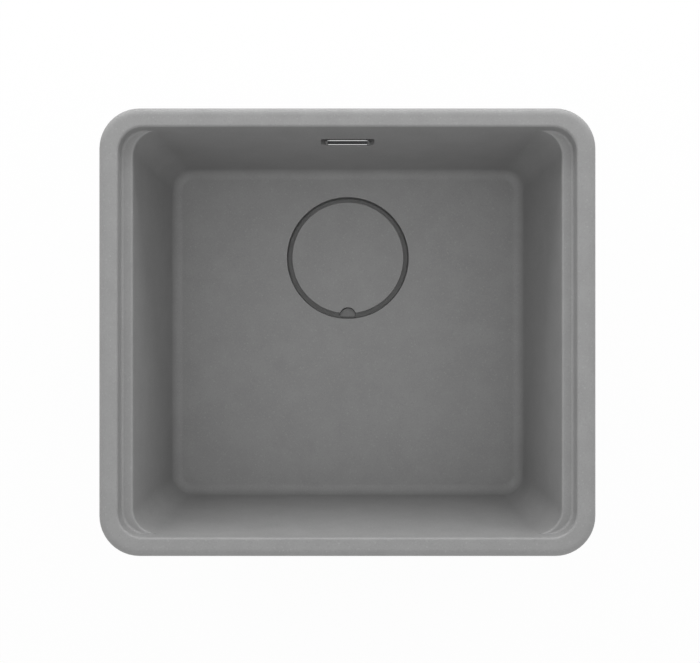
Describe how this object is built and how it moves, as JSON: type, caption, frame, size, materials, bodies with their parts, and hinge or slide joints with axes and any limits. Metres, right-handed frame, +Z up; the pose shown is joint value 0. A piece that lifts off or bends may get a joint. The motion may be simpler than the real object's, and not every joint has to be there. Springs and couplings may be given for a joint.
{
  "type": "kitchen sink",
  "caption": "Single-bowl undermount kitchen sink in grey composite with a flush drain cover, side shelves, basket waste, overflow hose and swivel brackets.",
  "frame": {"origin": "centre of the rim's flat top face", "axes": "+Z up out of the bowl, +Y towards the back wall with the overflow, +X to the right along the longer side"},
  "size_m": [0.492, 0.456, 0.303],
  "materials": {
    "composite": "fine matt speckle",
    "cover_composite": "fine matt speckle",
    "chrome": "polished",
    "stainless": "brushed",
    "zinc": "zinc plated",
    "brass": "turned",
    "rubber": "matt",
    "pipe_plastic": "moulded, satin",
    "hose_plastic": "ribbed, satin"
  },
  "bodies": {
    "sink": {"bowl": "composite", "strainer_flange": "stainless", "flange_seal": "rubber", "centre_screw": "stainless", "waste_insert": "brass", "waste_gasket": "rubber", "waste_body": "pipe_plastic", "waste_cross": "pipe_plastic", "waste_tail": "pipe_plastic", "overflow_frame": "chrome", "overflow_gasket": "rubber", "overflow_elbow": "pipe_plastic", "overflow_screws": "stainless", "overflow_hose": "hose_plastic", "upper_hose_nut": "pipe_plastic", "lower_hose_nut": "pipe_plastic", "upper_hose_washer": "rubber", "lower_hose_washer": "rubber", "bracket_inserts": "brass", "bracket_bolts": "zinc", "bracket_washers": "zinc"},
    "basket": {"strainer_basket": "stainless", "basket_seal": "rubber", "basket_knob": "stainless", "knob_clip": "zinc"},
    "cover": {"drain_cover": "cover_composite", "cover_feet": "rubber"},
    "bracket_right_front": {"bracket_right_front": "zinc"},
    "bracket_right_mid": {"bracket_right_mid": "zinc"},
    "bracket_right_back": {"bracket_right_back": "zinc"},
    "bracket_left_front": {"bracket_left_front": "zinc"},
    "bracket_left_mid": {"bracket_left_mid": "zinc"},
    "bracket_left_back": {"bracket_left_back": "zinc"}
  },
  "joints": [
    {"name": "basket_lift", "type": "slide", "parent": "sink", "child": "basket", "axis": [0, 0, 1], "range_m": [0, 0.29]},
    {"name": "cover_lift", "type": "slide", "parent": "basket", "child": "cover", "axis": [0, 0, 1], "range_m": [0, 0.25]},
    {"name": "swing_right_front", "type": "hinge", "parent": "sink", "child": "bracket_right_front", "pos_m": [0.236, -0.12, -0.03], "axis": [0, 0, -1], "range_deg": [0, 90]},
    {"name": "swing_right_mid", "type": "hinge", "parent": "sink", "child": "bracket_right_mid", "pos_m": [0.236, 0, -0.03], "axis": [0, 0, -1], "range_deg": [0, 90]},
    {"name": "swing_right_back", "type": "hinge", "parent": "sink", "child": "bracket_right_back", "pos_m": [0.236, 0.12, -0.03], "axis": [0, 0, -1], "range_deg": [0, 90]},
    {"name": "swing_left_front", "type": "hinge", "parent": "sink", "child": "bracket_left_front", "pos_m": [-0.236, -0.12, -0.03], "axis": [0, 0, 1], "range_deg": [0, 90]},
    {"name": "swing_left_mid", "type": "hinge", "parent": "sink", "child": "bracket_left_mid", "pos_m": [-0.236, 0, -0.03], "axis": [0, 0, 1], "range_deg": [0, 90]},
    {"name": "swing_left_back", "type": "hinge", "parent": "sink", "child": "bracket_left_back", "pos_m": [-0.236, 0.12, -0.03], "axis": [0, 0, 1], "range_deg": [0, 90]}
  ]
}
